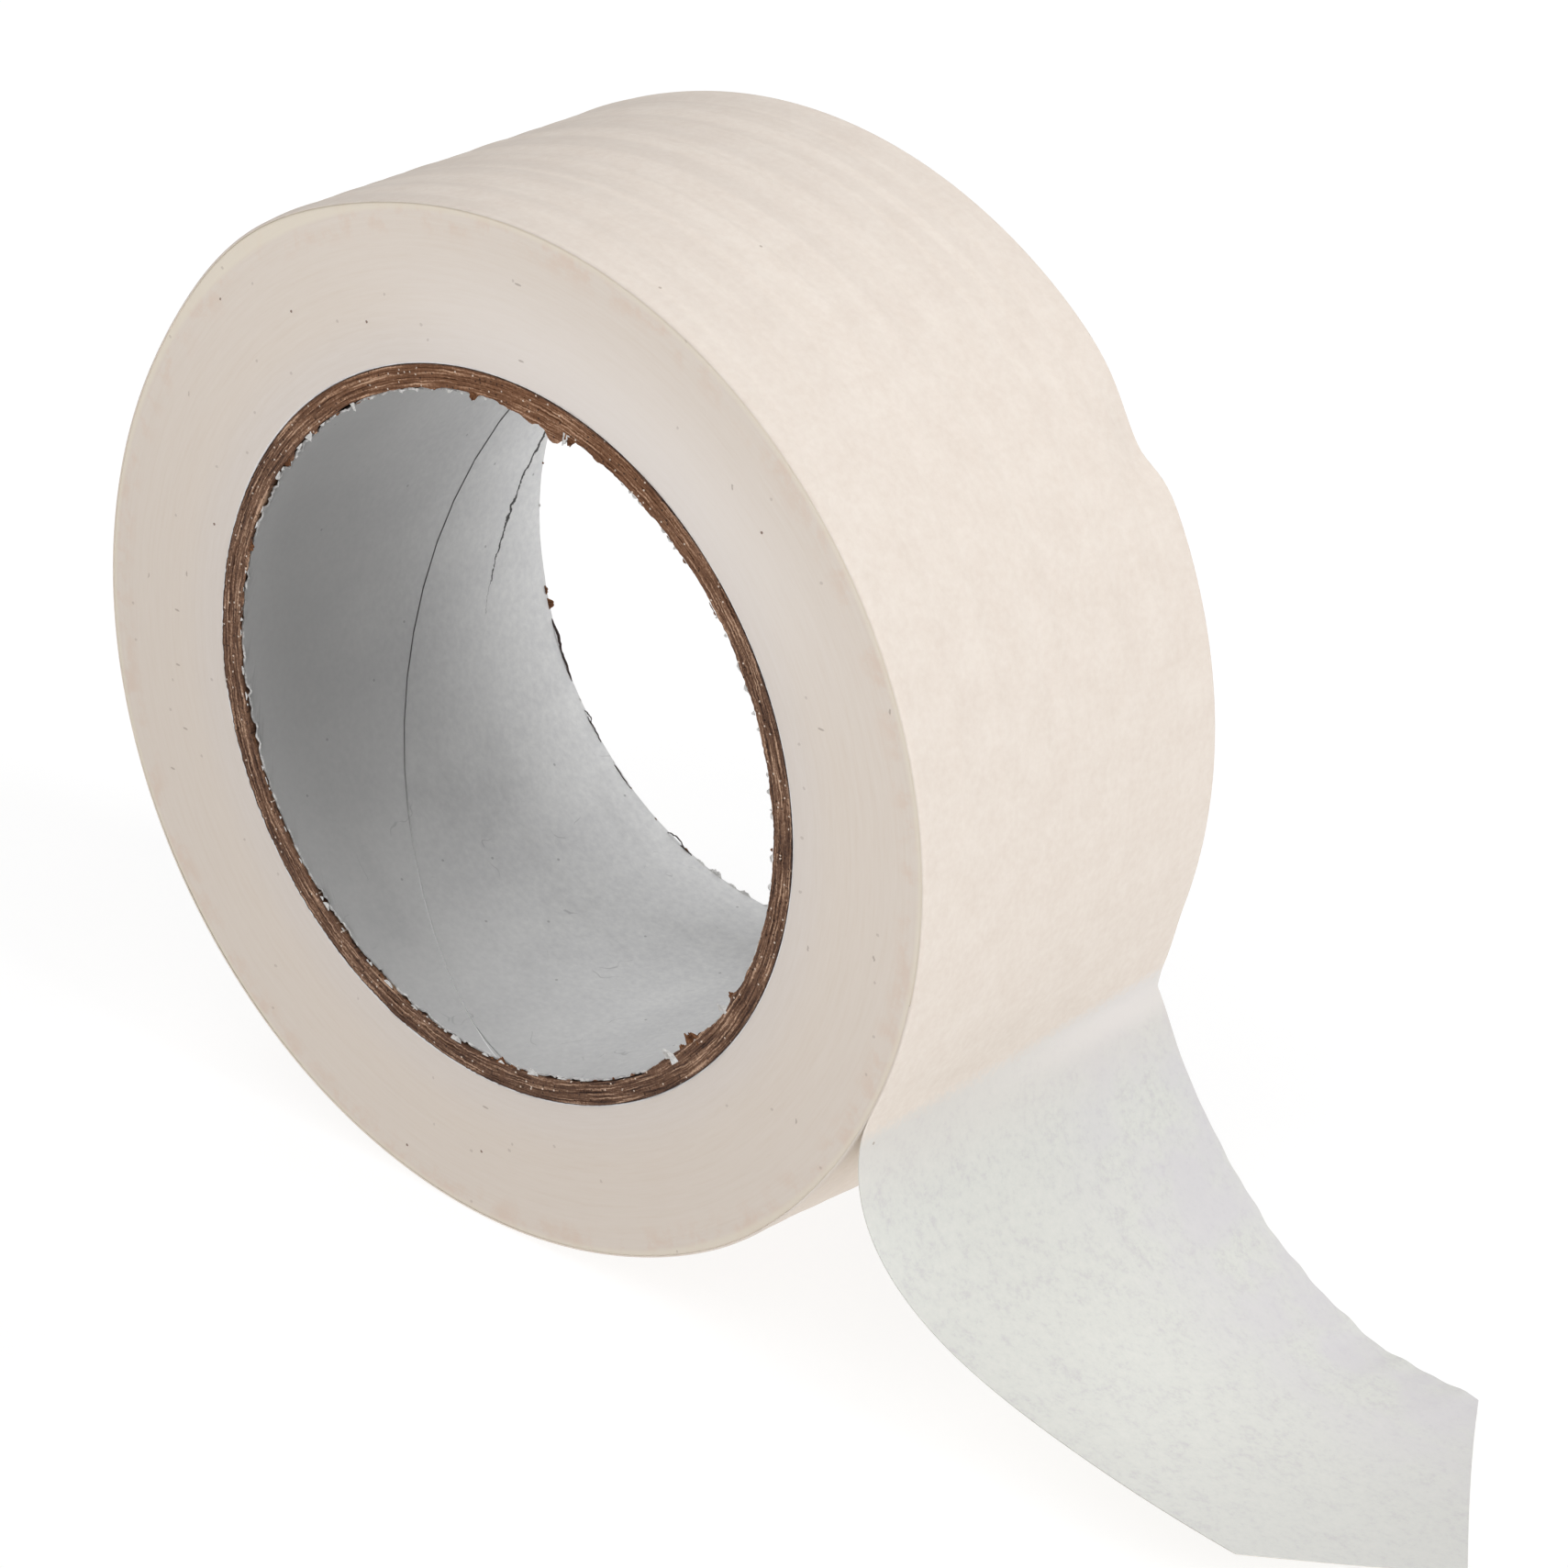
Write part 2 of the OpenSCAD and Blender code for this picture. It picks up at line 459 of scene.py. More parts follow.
def add_rim_tones(s, colour, radius):
    """A patchy blush inside the outer rim, a yellowish painted highlight along the rim, and a white lip at the
    core, partly painted highlight.
    """
    patches = s.noise(s.object_mm(), scale=0.35, detail=5.0, roughness=0.65)
    blush = s.times(s.span(radius, ROLL_MM - 4.75, ROLL_MM - 1.25), s.span(patches, 0.44, 0.66))
    colour = s.tint(colour, EDGE_BLUSH, blush, 0.42)
    # Painted highlight: a yellowish line where the rim rounds over.
    colour = s.tint(colour, EDGE_RIM_HIGHLIGHT, s.span(radius, ROLL_MM - 1.25, ROLL_MM - 0.55), 0.7)
    # The white lip is partly the whiter first turns of tape and partly a painted highlight on their edge.
    return s.tint(colour, EDGE_LIP_AND_HIGHLIGHT, s.span(radius, CORE_MM + 0.08, CORE_MM + 0.22, 1.0, 0.0), 0.8)


def add_painted_face_light(s, colour, radius):
    """Painted shade that darkens the face from the top down, and a painted sheen: a soft light patch above the
    core.
    """
    x, _, z = s.split(s.object_mm())
    height_on_face = s.weighted((x, 0.35), (z, 0.92))
    # Painted shade, darker towards the bottom of the face.
    colour = s.tint(colour, EDGE_LOW_SHADE, s.span(height_on_face, 50.0, -42.0), 0.16)
    sheen = s.times(s.span(height_on_face, 28.0, 46.0), s.span(radius, ROLL_MM - 2.25, CORE_MM + 3.1))
    return s.tint(colour, EDGE_SHEEN, sheen, 0.5)


def add_dust(s, colour, grain):
    """Dust and burrs on the slit face: a few dark specks, more faint ones and a few short strokes.

    A kind of dust is its stretch, spacing, radius, the share of places that have it, and its strength.
    """
    kinds = (
        ((1, 1, 1), 11.0, 0.2, 0.2, 0.85),
        ((1, 1, 1), 6.0, 0.22, 0.3, 0.22),
        ((0.35, 1.1, 1), 8.0, 0.16, 0.2, 0.4),
        ((1.2, 0.4, 1), 9.0, 0.16, 0.25, 0.4),
    )
    side_shift = 3.7
    x, y, z = s.split(s.object_mm())
    across = s.plus(s.plus(x, s.times(y, side_shift)), s.times(grain, 0.5))
    flat = s.join(across, z, 0.0)
    for stretch, spacing, radius, share, strength in kinds:
        dots = s.dots(s.scale(flat, stretch), spacing, radius, share)
        colour = s.tint(colour, EDGE_DUST, dots, strength)
    return colour


# ---------------------------------------------------------------- the kraft board

KRAFT_BROWNS = (
    (0.37, sRGB(56, 36, 28)),
    (0.46, sRGB(100, 71, 54)),
    (0.54, sRGB(132, 98, 76)),
    (0.62, sRGB(212, 176, 148)),
)
KRAFT_TOP_LIGHT = sRGB(188, 118, 58)
KRAFT_LOW_SHADE = sRGB(60, 38, 28)
KRAFT_PIT = sRGB(44, 28, 22)
KRAFT_FIBRE_END = sRGB(240, 222, 205)
KRAFT_RIM_SHADOW = sRGB(42, 31, 30)


def kraft_paper():
    """Brown kraft board cut across its layers: long light and dark lines, bright fibre ends, dark pits, painted
    light and shade from top to bottom and a painted shadow at the outer rim.
    """
    s = Shader("kraft_paper", 0.8, Specular_IOR_Level=0.3)
    radius, direction = s.polar_mm()
    bend = s.times(s.noise(s.scale(direction, (12, 12, 12)), detail=4.0, roughness=0.6), 0.5)
    depth = s.times(s.plus(radius, bend), 4.6)
    swept = s.vector("ADD", s.scale(direction, (7, 7, 7)), s.join(0.0, depth, 0.0))
    layers = s.noise(swept, detail=3.0, roughness=0.6)
    fuzz = s.noise(s.object_mm(), scale=3.6, detail=6.0, roughness=0.7)
    colour = s.ramp(s.weighted((layers, 0.68), (fuzz, 0.32)), KRAFT_BROWNS)
    x, _, z = s.split(s.object_mm())
    # Painted light and shade: warmer and lighter towards the top of the cut face, darker towards the bottom.
    colour = s.tint(colour, KRAFT_TOP_LIGHT, s.span(z, 18.0, 40.0), 0.15)
    colour = s.tint(colour, KRAFT_LOW_SHADE, s.span(z, -20.0, -40.0), 0.18)
    face = s.join(x, z, 0.0)
    pits = s.dots(s.vector("ADD", face, (3.1, 5.3, 0)), spacing=0.75, radius=0.14, share=0.2)
    colour = s.tint(colour, KRAFT_PIT, pits, 0.8)
    ends = s.dots(face, spacing=0.8, radius=0.13, share=0.18)
    colour = s.tint(colour, KRAFT_FIBRE_END, ends, 0.85)
    # Painted shadow: a dark line at the outer rim, in the gap between the board and the winding.
    colour = s.tint(colour, KRAFT_RIM_SHADOW, s.span(radius, CORE_MM - 0.2, CORE_MM - 0.05), 0.75)
    height = s.plus(layers, s.times(fuzz, 0.6))
    return s.finish(colour, height, distance=0.12 * MM, strength=0.7)


def torn_paper_and_gap_shadow(name, dark, light):
    """Loose fibres of torn paper; the same look serves the dark strips of painted shadow at the far rim."""
    s = Shader(name, 0.9, Specular_IOR_Level=0.2)
    fibres = s.noise(s.object_mm(), scale=3.5, detail=6.0, roughness=0.7)
    colour = s.ramp(fibres, [(0.35, dark), (0.65, light)])
    return s.finish(colour, fibres, distance=0.15 * MM, strength=0.8)


# ---------------------------------------------------------------- the liner of the bore

SEAM_PITCH = math.radians(3.03) / MM
SEAM_GAP = math.radians(0.2)
SEAM_ANGLE = math.radians(201.5)
CRACK_LAG = math.radians(36)

LINER_SHADE = sRGB(216, 216, 217)
LINER_LIGHT = sRGB(236, 236, 235)
LINER_PAINTED_SHADE = sRGB(147, 146, 145)
LINER_SMUDGE = sRGB(140, 140, 142)
LINER_SCUFF = sRGB(110, 110, 112)
LINER_SPECK = sRGB(90, 90, 90)
SEAM_DARK = sRGB(84, 82, 82)
SEAM_HIGHLIGHT = sRGB(240, 240, 240)
LINER_TORN = sRGB(246, 245, 243)
CRACK_DARK = sRGB(34, 29, 27)


def liner_paper():
    """White liner of the bore, with painted shade towards the near rim and the left, its seam, faint smudges and
    one jagged crack.
    """
    s = Shader("liner_paper", 0.78, Specular_IOR_Level=0.3)
    place = s.object_mm()
    x, y, z = s.split(place)
    pulp = s.noise(place, scale=1.3, detail=7.0, roughness=0.6)
    clouds = s.noise(s.scale(place, (0.12, 0.05, 0.12)), detail=3.0)
    tone = s.weighted((pulp, 0.6), (clouds, 0.4))
    colour = s.ramp(tone, [(0.34, LINER_SHADE), (0.66, LINER_LIGHT)])
    # Painted shade: the liner darkens towards the near rim, the left and the top of the bore.
    depth = s.weighted((y, 0.9), (x, 0.35))
    painted_shade = s.span(s.minus(depth, s.times(z, 0.15)), -34.0, 16.0, 1.0, 0.0)
    colour = s.tint(colour, LINER_PAINTED_SHADE, painted_shade, 0.85)
    colour = add_smudges(s, colour, place, z)
    angle = s.math("ARCTAN2", s.times(z, -1.0), s.times(x, -1.0))
    unrolled = s.join(y, s.times(angle, BORE_R / MM), 0.0)
    colour = s.tint(colour, LINER_SPECK, s.dots(unrolled, spacing=7.0, radius=0.2, share=0.3), 0.4)
    turned = s.plus(s.plus(angle, math.pi), s.times(y, SEAM_PITCH * MM))
    from_seam = s.minus(turned, SEAM_ANGLE)
    colour = add_seam(s, colour, from_seam, y)
    ragged = s.plus(y, s.noise(place, scale=1.2, detail=5.0, roughness=0.7))
    near_end = -HALF_WIDTH / MM
    colour = s.mix(s.span(ragged, near_end + 1.2, near_end + 0.85), colour, LINER_TORN)
    crack = crack_in_liner(s, from_seam, place, y)
    colour = s.tint(colour, CRACK_DARK, crack, 0.92)
    height = s.minus(s.times(pulp, 0.5), crack)
    return s.finish(colour, height, distance=0.12 * MM, strength=0.5)


def add_smudges(s, colour, place, z):
    """Faint stains and fine scuff lines low in the bore."""
    low = s.span(z, -16.0, -26.0)
    stain = s.noise(s.scale(place, (0.07, 0.1, 0.07)), detail=8.0, roughness=0.66, distortion=0.2)
    colour = s.tint(colour, LINER_SMUDGE, s.times(low, s.span(stain, 0.46, 0.7)), 0.15)
    contour = s.math("ABSOLUTE", s.minus(s.noise(place, scale=0.09, detail=3.0), 0.5))
    here = s.span(s.noise(place, scale=0.21), 0.56, 0.64)
    scuff = s.times(s.span(contour, 0.001, 0.005, 1.0, 0.0), s.times(here, low))
    return s.tint(colour, LINER_SCUFF, scuff, 0.3)


def add_seam(s, colour, from_seam, y):
    """The seam of the liner: a dark gap in the far part of the bore, and a painted highlight on its raised edge in
    the near part.
    """
    seam = s.span(s.math("ABSOLUTE", from_seam), SEAM_GAP * 0.5, SEAM_GAP * 1.1, 1.0, 0.0)
    dark = s.times(seam, s.span(y, -12.0, 4.0, 0.0, 0.75))
    bright = s.times(seam, s.span(y, -4.0, -12.0, 0.0, 0.7))
    colour = s.mix(dark, colour, SEAM_DARK)
    # Painted highlight on the raised edge of the seam.
    return s.mix(bright, colour, SEAM_HIGHLIGHT)


def crack_in_liner(s, from_seam, place, y):
    """A jagged crack that runs in from the far rim beside the seam and thins out, as a factor."""
    jagged = s.times(s.minus(s.noise(place, scale=0.42, detail=4.0, roughness=0.66), 0.5), 0.11)
    from_crack = s.math("ABSOLUTE", s.plus(s.minus(from_seam, CRACK_LAG), jagged))
    width = s.span(y, 13.0, 21.0, 0.003, 0.016)
    inside = s.math("SUBTRACT", 1.0, s.math("DIVIDE", from_crack, width), clamp=True)
    return s.times(s.span(inside, 0.0, 0.6), s.span(y, 12.5, 16.5))


# ---------------------------------------------------------------- the core

CORE_STEPS = 1800
LINER_STEPS = 1500
CORE_RECESS = 0.16 * MM
FAR_RECESS = 0.2 * MM
CUT_WAVES = 0.07 * MM
CUT_FIBRES = 0.06 * MM
CUT_DEPTH = 2 * MM
PLY_GAP = 0.015 * MM
BURR_LIP = 0.2 * MM
BURR_RAGGED = 0.26 * MM
LIP_ROWS = np.array([0.6, 1.0, 1.4, 20]) * BURR_LIP

core_angles = np.linspace(0, math.tau, CORE_STEPS, endpoint=False)


def uneven_cut():
    """How far a cut end of one ply stands back, round the core: slow waves with short fibres on them."""
    return CORE_RECESS + CUT_WAVES * around(core_angles, 70) + CUT_FIBRES * around(core_angles, 700)


def humps(angle, places):
    """Soft humps round the roll, each given as its place and its spread in degrees, and its height."""
    total = np.zeros_like(angle)
    for degrees, spread, height in places:
        total = total + height * np.exp(-(degrees_from(angle, degrees) / spread) ** 2)
    return total


def burr(lumps):
    """The torn edge that the cut leaves on the innermost ply, leaning over the liner."""
    ragged = rough_edge(core_angles, 60, 330) * BURR_RAGGED
    lumpy = humps(core_angles, lumps) * MM * (0.8 + 0.2 * around(core_angles, 260))
    return ragged + lumpy


# The largest lumps of the burr on the near rim: place and spread in degrees, height in millimetres.
NEAR_LUMPS = (
    (80.7, 3.0, 1.75), (86, 2.8, 1.0), (91, 2.4, 0.6), (98, 1.0, 0.5), (107, 1.4, 0.3), (137, 1.0, 0.6),
    (145, 1.3, 0.7), (153, 1.0, 0.3), (168, 5.0, 0.45), (177, 4.0, 0.5), (257, 2.0, 0.5), (274, 1.0, 0.45),
    (311, 4.0, 0.4), (320, 7.0, 0.75), (334, 2.0, 0.45), (340, 1.2, 0.25), (60, 1.0, 0.25), (72, 1.0, 0.4),
)


def add_ply(node, outer_r, inner_r, near_burr, material):
    """One kraft ply: a thin tube whose cut ends are uneven, with a burr where it is the innermost."""
    face = np.linspace(inner_r, outer_r, 4)
    inside = HALF_WIDTH - LIP_ROWS
    profile = [(r, -HALF_WIDTH) for r in face]
    profile += [(r, HALF_WIDTH) for r in face[::-1]]
    profile += [(inner_r, y) for y in np.concatenate([inside, -inside[::-1]])]
    near_cut = uneven_cut()
    far_cut = uneven_cut() + FAR_RECESS

    def shape(angle, radius, y):
        near = smooth(-HALF_WIDTH + CUT_DEPTH, -HALF_WIDTH, y) * near_cut[:, None]
        far = smooth(HALF_WIDTH - CUT_DEPTH, HALF_WIDTH, y) * far_cut[:, None]
        at_lip = (y < 1.2 * BURR_LIP - HALF_WIDTH) * (radius == inner_r)
        lean = at_lip * near_burr[:, None]
        round_edge = lean * smooth(0.3 * BURR_LIP - HALF_WIDTH, -HALF_WIDTH, y) * 0.25
        inset = np.where(radius < (inner_r + outer_r) / 2, PLY_GAP, -PLY_GAP)
        return radius + inset - lean + round_edge, y + near - far

    ring = turned_ring("kraft_" + node.removeprefix("core_"), core_angles, profile, material, shape)
    sharpen(ring, 50)
    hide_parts(node)
    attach(ring, "roll")


def add_plies(material):
    """The kraft plies, from the liner outward. Only the innermost has a burr."""
    inner_r = LINER_R
    smooth_edge = np.zeros(CORE_STEPS)
    for place, node in enumerate(PLIES):
        near_burr = burr(NEAR_LUMPS) if place == 0 else smooth_edge
        add_ply(node, PLY_R[node], inner_r, near_burr, material)
        inner_r = PLY_R[node]


LINER_RIM_ROWS = np.array([0, 0.2, 0.5, 1.0, 2.0, 3.6]) * MM
LINER_MIDDLE = HALF_WIDTH - 5.6 * MM
LINER_RECESS = CORE_RECESS + 1.6 * BURR_LIP
LINER_TEAR_DEPTH = 4 * MM
FRINGE_LEAST = 0.05 * MM
FRINGE_TUFTS = 0.62 * MM
FRINGE_DEPTH = 1.0 * MM
SEAM_LIFT = 0.12 * MM
LINER_WAVES = 0.04 * MM
LINER_GAP = 0.06 * MM


def liner_fringe(angle, y):
    """How far the near edge of the liner curls into the bore in torn tufts, most of them on the left."""
    torn_side = 0.35 + 0.65 * smooth(-0.2, 0.6, -np.cos(angle - math.radians(20)))
    coarse = np.clip(0.5 * around(angle, 31) + around(angle, 230), 0, 1)
    tufts = coarse * (0.55 + 0.45 * around(angle, 700))
    fringe = FRINGE_LEAST + FRINGE_TUFTS * tufts * torn_side
    return fringe * smooth(-HALF_WIDTH + FRINGE_DEPTH, -HALF_WIDTH, y)[None, :]


def add_liner(material):
    """The liner is one strip wound on a helix, so that its two edges meet in a seam across the bore."""
    turn = np.linspace(0, math.tau, LINER_STEPS + 1)
    middle = np.linspace(-LINER_MIDDLE, LINER_MIDDLE, 17)
    flat_y = np.concatenate([-HALF_WIDTH + LINER_RIM_ROWS, middle, HALF_WIDTH - LINER_RIM_ROWS[::-1]])
    seam = SEAM_ANGLE - flat_y * SEAM_PITCH
    gap = SEAM_GAP * (1 - 0.85 * smooth(-2 * MM, -12 * MM, flat_y))
    angle = seam[None, :] + gap[None, :] / 2 + turn[:, None] * (1 - gap[None, :] / math.tau)
    near_tear = LINER_RECESS + 0.3 * MM * rough_edge(angle[:, 0], 60, 330)
    far_tear = 0.04 * MM + 0.2 * MM * rough_edge(angle[:, -1], 40, 90)
    near = smooth(-HALF_WIDTH + LINER_TEAR_DEPTH, -HALF_WIDTH, flat_y)[None, :]
    far = smooth(HALF_WIDTH - LINER_TEAR_DEPTH, HALF_WIDTH, flat_y)[None, :]
    y = flat_y[None, :] + near * near_tear[:, None] - far * far_tear[:, None]
    curl = liner_fringe(angle, flat_y)
    lifted_edge = SEAM_LIFT * np.exp(-turn / math.radians(0.5))[:, None]
    inner_r = BORE_R - curl - lifted_edge + LINER_WAVES * around(angle, 24)
    outer_r = inner_r + (LINER_R - BORE_R) - LINER_GAP
    uv = np.stack([angle * BORE_R, y], axis=-1)
    liner = closed_sheet("bore_liner", polar(inner_r, angle, y), polar(outer_r, angle, y), uv, material)
    sharpen(liner, 60)
    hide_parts("core_liner")
    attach(liner, "roll")


# ---------------------------------------------------------------- the winding

WINDING_STEPS = 480
SPIRAL_TURNS = 1.05
WINDING_R = ROLL_R - TAPE * (SPIRAL_TURNS + 1) - 0.02 * MM
BAND_R = WINDING_R - 1.95 * MM
CORNER_R = 0.3 * MM

WOUND_GAP = 0.02 * MM
FACE_STEP = 0.5 * MM
FACE_RECESS = 0.06 * MM
CORE_HOLLOW = 0.2 * MM
RIPPLE_HEIGHT = 0.05 * MM
RIPPLE_KNOTS = 26

DENT_ANGLE = 38.0
DENT_DEPTH = 1.75 * MM
DENT_SPREADS = (3.6, 7.0)
DENT_REACH = 10 * MM
# Angle and spread in degrees, height on the near side and on the far side, and where the far height starts.
SWELLINGS = (
    (131.0, 15.5, 1.3 * MM, 0.65 * MM, HALF_WIDTH),
    (157.0, 12.0, 0.12 * MM, 0.12 * MM, HALF_WIDTH),
    (309.6, 13.0, 0.4 * MM, 1.4 * MM, 0.0),
)


def corner_drop(y):
    """How far the outer turn falls away where it rounds over to the slit sides."""
    past = np.clip(np.abs(y) - (HALF_WIDTH - CORNER_R), 0, 0.97 * CORNER_R)
    return CORNER_R - np.sqrt(CORNER_R ** 2 - past ** 2)


def out_of_round(angle, y):
    """How far the roll stands off a true circle: swollen in places, and knocked in at the far rim."""
    swollen = 0
    for centre, spread, near, far, far_start in SWELLINGS:
        height = near + (far - near) * smooth(-HALF_WIDTH, far_start, y)
        swollen = swollen + height * np.exp(-((degrees_from(angle, centre) / spread) ** 2))
    from_dent = degrees_from(angle, DENT_ANGLE)
    spread = np.where(from_dent < 0, *DENT_SPREADS)
    across = smooth(HALF_WIDTH - DENT_REACH, HALF_WIDTH, y)
    return swollen - DENT_DEPTH * np.exp(-((from_dent / spread) ** 2)) * across ** 2


ripple_r = np.linspace(CORE_R, ROLL_R, RIPPLE_KNOTS)
ripple = rng.uniform(-1, 1, RIPPLE_KNOTS) * RIPPLE_HEIGHT


def side_recess(angle, radius):
    """How far the slit side stands in from the tape's full width: slow rings, and a hollow at the core."""
    hollow = CORE_HOLLOW * np.exp(-(radius - CORE_R) / (0.4 * MM))
    slow = 0.03 * MM * np.sin(3 * angle + radius / (4 * MM))
    slow = slow + 0.02 * MM * np.sin(7 * angle - radius / (3 * MM))
    return FACE_RECESS + hollow + np.interp(radius, ripple_r, ripple) * 0.5 + slow


def wound_ring(name, body, inner_r, outer_r, corner, pliant, material):
    """A ring of wound turns. Where pliant is 1, its outside is out of round like the outer turn."""
    face_rows = max(6, int((outer_r - inner_r) / FACE_STEP))
    face_r = np.linspace(inner_r, outer_r - corner, face_rows)
    bend = np.linspace(0, math.pi / 2, 5)[1:]
    rim = [(outer_r - corner * (1 - math.sin(a)), HALF_WIDTH - corner * (1 - math.cos(a))) for a in bend]
    band = np.linspace(-HALF_WIDTH + 2 * MM, HALF_WIDTH - 2 * MM, 14)
    profile = [(r, -HALF_WIDTH) for r in face_r]
    profile += [(r, -y) for r, y in rim]
    profile += [(outer_r, y) for y in band]
    profile += [(r, y) for r, y in rim[::-1]]
    profile += [(r, HALF_WIDTH) for r in face_r[::-1]]
    profile += [(inner_r, y) for y in (10 * MM, -10 * MM)]
    angles = np.linspace(0, math.tau, WINDING_STEPS, endpoint=False)

    def shape(angle, radius, y):
        side = smooth(HALF_WIDTH - 1.5 * MM, HALF_WIDTH, np.abs(y))
        moved = y - np.sign(y) * side * side_recess(angle, radius)
        share = np.clip((radius - inner_r) / (outer_r - inner_r), 0, 1) * pliant
        return radius + out_of_round(angle, y) * share, moved

    ring = turned_ring(name, angles, profile, material, shape)
    sharpen(ring, 60)
    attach(ring, body)
    return ring


def add_winding(material):
    """The wound turns, and the last few of them as a ring that is out of round like the outer turn."""
    inner_r = CORE_R + WOUND_GAP
    inside = wound_ring("wound_turns", "roll", inner_r, BAND_R, 0.002 * MM, 0, material)
    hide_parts("winding")
    wound_ring("last_turns", "outer_turn", BAND_R, WINDING_R, CORNER_R, 1, material)


# ---------------------------------------------------------------- the outer turn and the tail

NEAR_COLUMNS = 22
FAR_COLUMNS = 40
POINT_SHARE = 17 * MM / WIDTH
TURN_STEPS = 430
TAIL_STEPS = 110
EDGE_COLUMNS = np.array([0, 0.05, 0.14, 0.28, 0.45, 0.62]) * MM / WIDTH
EDGE_MARGIN = 1.2 * MM / WIDTH
OUTER_GAP = 0.03 * MM
RIDGE_HEIGHT = 0.15 * MM
FLUTTER_HEIGHT = 0.10 * MM
PEEL_STAND_OFF = 0.9 * MM
PEEL_REACH = 11 * MM
END_LIFT = 1.4 * MM
FLOOR_GAP = 0.02 * MM
NEAR_CORNER = 0.86
FAR_CORNER = 0.84

NEAR_EDGE = [
    (ROOT.x, ROOT.z),
    (ROOT.x - 2 * MM, ROOT.z - 21 * MM),
    (ROOT.x + 0.39 * TAIL_REACH, FLOOR_Z + 7.5 * MM),
    (ROOT.x + TAIL_REACH, FLOOR_Z + 6.5 * MM),
]
FAR_EDGE = [
    (ROOT.x, ROOT.z),
    (ROOT.x + 8.5 * MM, ROOT.z - 10.5 * MM),
    (ROOT.x + 0.31 * TAIL_REACH, FLOOR_Z - 7.5 * MM),
    (ROOT.x + TAIL_REACH, FLOOR_Z + 1.9 * MM),
]


def curve(points, t):
    """Smooth curve through four control points in the plane of x and z."""
    a, b, c, d = (np.array(p) for p in points)
    t = np.asarray(t)[..., None]
    return (1 - t) ** 3 * a + 3 * (1 - t) ** 2 * t * b + 3 * (1 - t) * t * t * c + t ** 3 * d


def tape_columns():
    """Places across the tape from 0 to 1, close together where its edges round over."""
    near = np.linspace(EDGE_MARGIN, POINT_SHARE, NEAR_COLUMNS)
    far = np.linspace(POINT_SHARE, 1 - EDGE_MARGIN, FAR_COLUMNS)[1:]
    return np.concatenate([EDGE_COLUMNS, near, far, 1 - EDGE_COLUMNS[::-1]])


def long_ridges(y, turn):
    """Long soft ridges along the tape, from tight winding. They drift a little from turn to turn."""
    wide = np.sin(y / (0.86 * MM) + 2.2 * np.sin(3 * turn) + 0.9 * np.sin(y / (5 * MM)))
    middle = np.sin(y / (0.53 * MM) + 1.8 * np.sin(4 * turn + 1))
    fine = np.sin(y / (0.34 * MM) + 2.4 * np.sin(5 * turn + 2))
    return RIDGE_HEIGHT * (0.4 * wide + 0.4 * middle + 0.12 * fine)


def turn_points(share):
    """The outer turn, from where it starts under the peel line round to the peel line."""
    back = np.linspace(SPIRAL_TURNS, 0, TURN_STEPS, endpoint=False)[:, None]
    angle = PEEL_ANGLE + back * math.tau
    y = (share * WIDTH - HALF_WIDTH)[None, :]
    strength = smooth(0.0, 0.24, back) * (1 - 0.7 * smooth(0.4, 0.6, back))
    leaving = 1 - smooth(0.01, 0.0, back)
    radius = ROLL_R - OUTER_GAP - TAPE * back - corner_drop(y) * leaving
    radius = radius + long_ridges(y, back * 2) * strength + out_of_round(angle, y)
    return polar(radius, angle, y)


def tail_points(share):
    """The loose tail, from the peel line to its pointed end."""
    reach = np.where(
        share <= POINT_SHARE,
        NEAR_CORNER + (1 - NEAR_CORNER) * share / POINT_SHARE,
        1 + (FAR_CORNER - 1) * (share - POINT_SHARE) / (1 - POINT_SHARE),
    )
    step = np.linspace(0, 1, TAIL_STEPS + 1)[:, None]
    t = step * reach[None, :]
    side = share[None, :, None]
    plan = (1 - side) * curve(NEAR_EDGE, t) + side * curve(FAR_EDGE, t)
    y = np.broadcast_to((share * WIDTH - HALF_WIDTH)[None, :], t.shape)
    return np.stack([plan[..., 0], y, plan[..., 1]], axis=-1)


def soften_peel_line(points, row, reach, rounds):
    """Rounds the crease where the tape leaves the roll."""
    for _ in range(rounds):
        near = slice(row - reach, row + reach + 1)
        before = points[row - reach - 1:row + reach]
        after = points[row - reach + 1:row + reach + 2]
        points[near] = 0.5 * points[near] + 0.25 * (before + after)
    return points


def flutter(points, length):
    """Small waves that the loose tape takes along its two edges, strongest on the far one."""
    share = (points[..., 1] + HALF_WIDTH) / WIDTH
    free = smooth(6 * MM, 30 * MM, length)
    far = smooth(0.72, 1.0, share)
    near = smooth(0.2, 0.0, share)
    quick = np.sin(length / (1.3 * MM)) + 0.8 * np.sin(length / (0.62 * MM) + 1.3)
    wave = quick + 0.6 * np.sin(length / (2.9 * MM))
    slow = np.sin(length / (5.5 * MM) + 0.6)
    return FLUTTER_HEIGHT * free * (far * wave + 0.5 * near * slow)


def peel_lift(share, length):
    """The far side of the tape starts to come away a little before the peel line."""
    near_line = 1 - smooth(0, PEEL_REACH, np.abs(length))
    return PEEL_STAND_OFF * near_line * smooth(0.35, 1.0, share)


def end_rise(points):
    """The far corner of the cut end turns up off the floor."""
    share = (points[..., 1] + HALF_WIDTH) / WIDTH
    return END_LIFT * smooth(84 * MM, 98 * MM, points[..., 0]) * smooth(0.5, 1.0, share)


def normals(points):
    """Unit normals of a grid of points."""
    along = np.gradient(points, axis=0)
    across = np.gradient(points, axis=1)
    normal = np.cross(along, across)
    return normal / np.linalg.norm(normal, axis=-1, keepdims=True)


